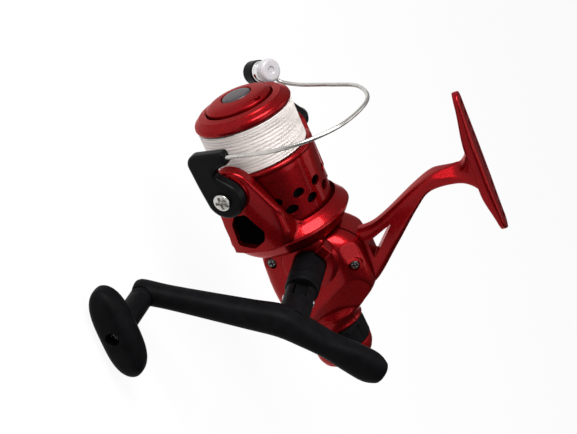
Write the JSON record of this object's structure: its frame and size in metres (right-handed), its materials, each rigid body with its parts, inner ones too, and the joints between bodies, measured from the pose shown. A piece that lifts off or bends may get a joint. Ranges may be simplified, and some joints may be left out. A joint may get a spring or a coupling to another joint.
{
  "type": "spinning reel",
  "caption": "Rear-drag spinning reel with a pierced skirted spool, wire bail, folding handle with a T knob, push-button spool release and a slanted stem with a flat foot.",
  "frame": {"origin": "centre of the foot's flat outer face", "axes": "+X forward along the spool axis, +Y to the handle side, +Z out of the foot's face, away from the spool"},
  "size_m": [0.1305, 0.1418, 0.1397],
  "materials": {
    "red_lacquer": "metallic red lacquer",
    "black_plastic": "satin black",
    "grey_plastic": "satin grey",
    "steel": "bright",
    "brass": "turned",
    "gear_alloy": "die cast",
    "roller_metal": "polished",
    "white_plastic": "white",
    "line_nylon": "clear white",
    "felt": "felt"
  },
  "bodies": {
    "frame": {"main_frame": "red_lacquer", "side_cover": "red_lacquer", "cover_screw_top": "steel", "cover_screw_low": "steel", "handle_bush": "brass", "frame_bush": "brass", "pinion_bearing": "steel", "guide_rod": "steel", "drag_washer_felt": "felt", "drag_washer_rear": "felt", "drag_spring_washer": "steel"},
    "crank": {"drive_gear": "gear_alloy", "handle_shaft": "steel", "handle_cap": "black_plastic", "handle_collar": "black_plastic", "fold_pin": "steel"},
    "handle": {"handle_arm": "black_plastic", "knob_spindle": "black_plastic", "knob_screw": "steel"},
    "knob": {"handle_knob": "black_plastic"},
    "rotor": {"rotor": "red_lacquer", "rotor_nut": "brass", "pinion_gear": "brass", "ratchet_wheel": "gear_alloy", "bail_screw_near": "steel", "bail_screw_far": "steel", "bail_spring": "steel"},
    "bail": {"bail_arm_near": "black_plastic", "bail_arm_far": "black_plastic", "bail_wire": "steel", "roller_bush": "white_plastic", "roller_cap": "white_plastic"},
    "roller": {"line_roller": "roller_metal"},
    "oscillation": {"oscillation_gear": "gear_alloy"},
    "slider": {"oscillation_slider": "grey_plastic"},
    "spool": {"main_shaft": "steel", "spool": "red_lacquer", "spool_cap": "red_lacquer", "button_spring": "steel", "line_core": "line_nylon", "line_winding": "line_nylon"},
    "button": {"spool_button": "grey_plastic"},
    "drag": {"drag_sleeve": "brass", "drag_washer_steel": "steel"},
    "drag_knob": {"drag_knob": "black_plastic", "drag_knob_ring": "red_lacquer"},
    "switch": {"anti_reverse_lever": "black_plastic"},
    "pawl": {"anti_reverse_pawl": "gear_alloy"}
  },
  "joints": [
    {"name": "crank_spin", "type": "hinge", "parent": "frame", "child": "crank", "pos_m": [-0.0165, 0, -0.0797], "axis": [0, 1, 0], "continuous": true},
    {"name": "handle_fold", "type": "hinge", "parent": "crank", "child": "handle", "pos_m": [-0.0165, 0.0461, -0.0797], "axis": [0.5, 0, -0.866], "range_deg": [0, 90]},
    {"name": "knob_spin", "type": "hinge", "parent": "handle", "child": "knob", "pos_m": [0.0128, 0.0641, -0.13045], "axis": [0.0462, 0.9957, -0.08], "continuous": true},
    {"name": "rotor_spin", "type": "hinge", "parent": "frame", "child": "rotor", "pos_m": [0, 0, -0.0857], "axis": [1, 0, 0], "continuous": true},
    {"name": "bail_flip", "type": "hinge", "parent": "rotor", "child": "bail", "pos_m": [0.0285, 0, -0.0857], "axis": [0, 0.9563, -0.2924], "range_deg": [0, 110]},
    {"name": "roller_spin", "type": "hinge", "parent": "bail", "child": "roller", "pos_m": [0.0521, -0.0376, -0.0883], "axis": [0.0926, 0.6075, 0.7889], "continuous": true},
    {"name": "oscillation_spin", "type": "hinge", "parent": "frame", "child": "oscillation", "pos_m": [-0.02912, 0, -0.08429], "axis": [0, 1, 0], "continuous": true},
    {"name": "spool_stroke", "type": "slide", "parent": "frame", "child": "slider", "axis": [1, 0, 0], "range_m": [0, 0.01]},
    {"name": "spool_slip", "type": "hinge", "parent": "slider", "child": "spool", "pos_m": [0, 0, -0.0857], "axis": [1, 0, 0], "continuous": true},
    {"name": "button_press", "type": "slide", "parent": "spool", "child": "button", "axis": [-1, 0, 0], "range_m": [0, 0.0012], "stiffness_N_per_m": 800},
    {"name": "drag_slip", "type": "hinge", "parent": "frame", "child": "drag", "pos_m": [0, 0, -0.0857], "axis": [1, 0, 0], "continuous": true},
    {"name": "drag_set", "type": "hinge", "parent": "frame", "child": "drag_knob", "pos_m": [0, 0, -0.0857], "axis": [1, 0, 0], "range_deg": [-270, 270]},
    {"name": "switch_turn", "type": "hinge", "parent": "frame", "child": "switch", "pos_m": [-0.0283, -0.004, -0.1027], "axis": [0, 0, 1], "range_deg": [0, 40]},
    {"name": "pawl_turn", "type": "hinge", "parent": "frame", "child": "pawl", "pos_m": [0.0095, 0.0068, -0.09748], "axis": [1, 0, 0], "range_deg": [-15, 0]}
  ],
  "couplings": [
    {"joint": "rotor_spin", "follows": "crank_spin", "ratio": 5.1429},
    {"joint": "oscillation_spin", "follows": "crank_spin", "ratio": -0.58333},
    {"joint": "drag_slip", "follows": "spool_slip", "ratio": 1},
    {"joint": "pawl_turn", "follows": "switch_turn", "ratio": -0.375}
  ]
}
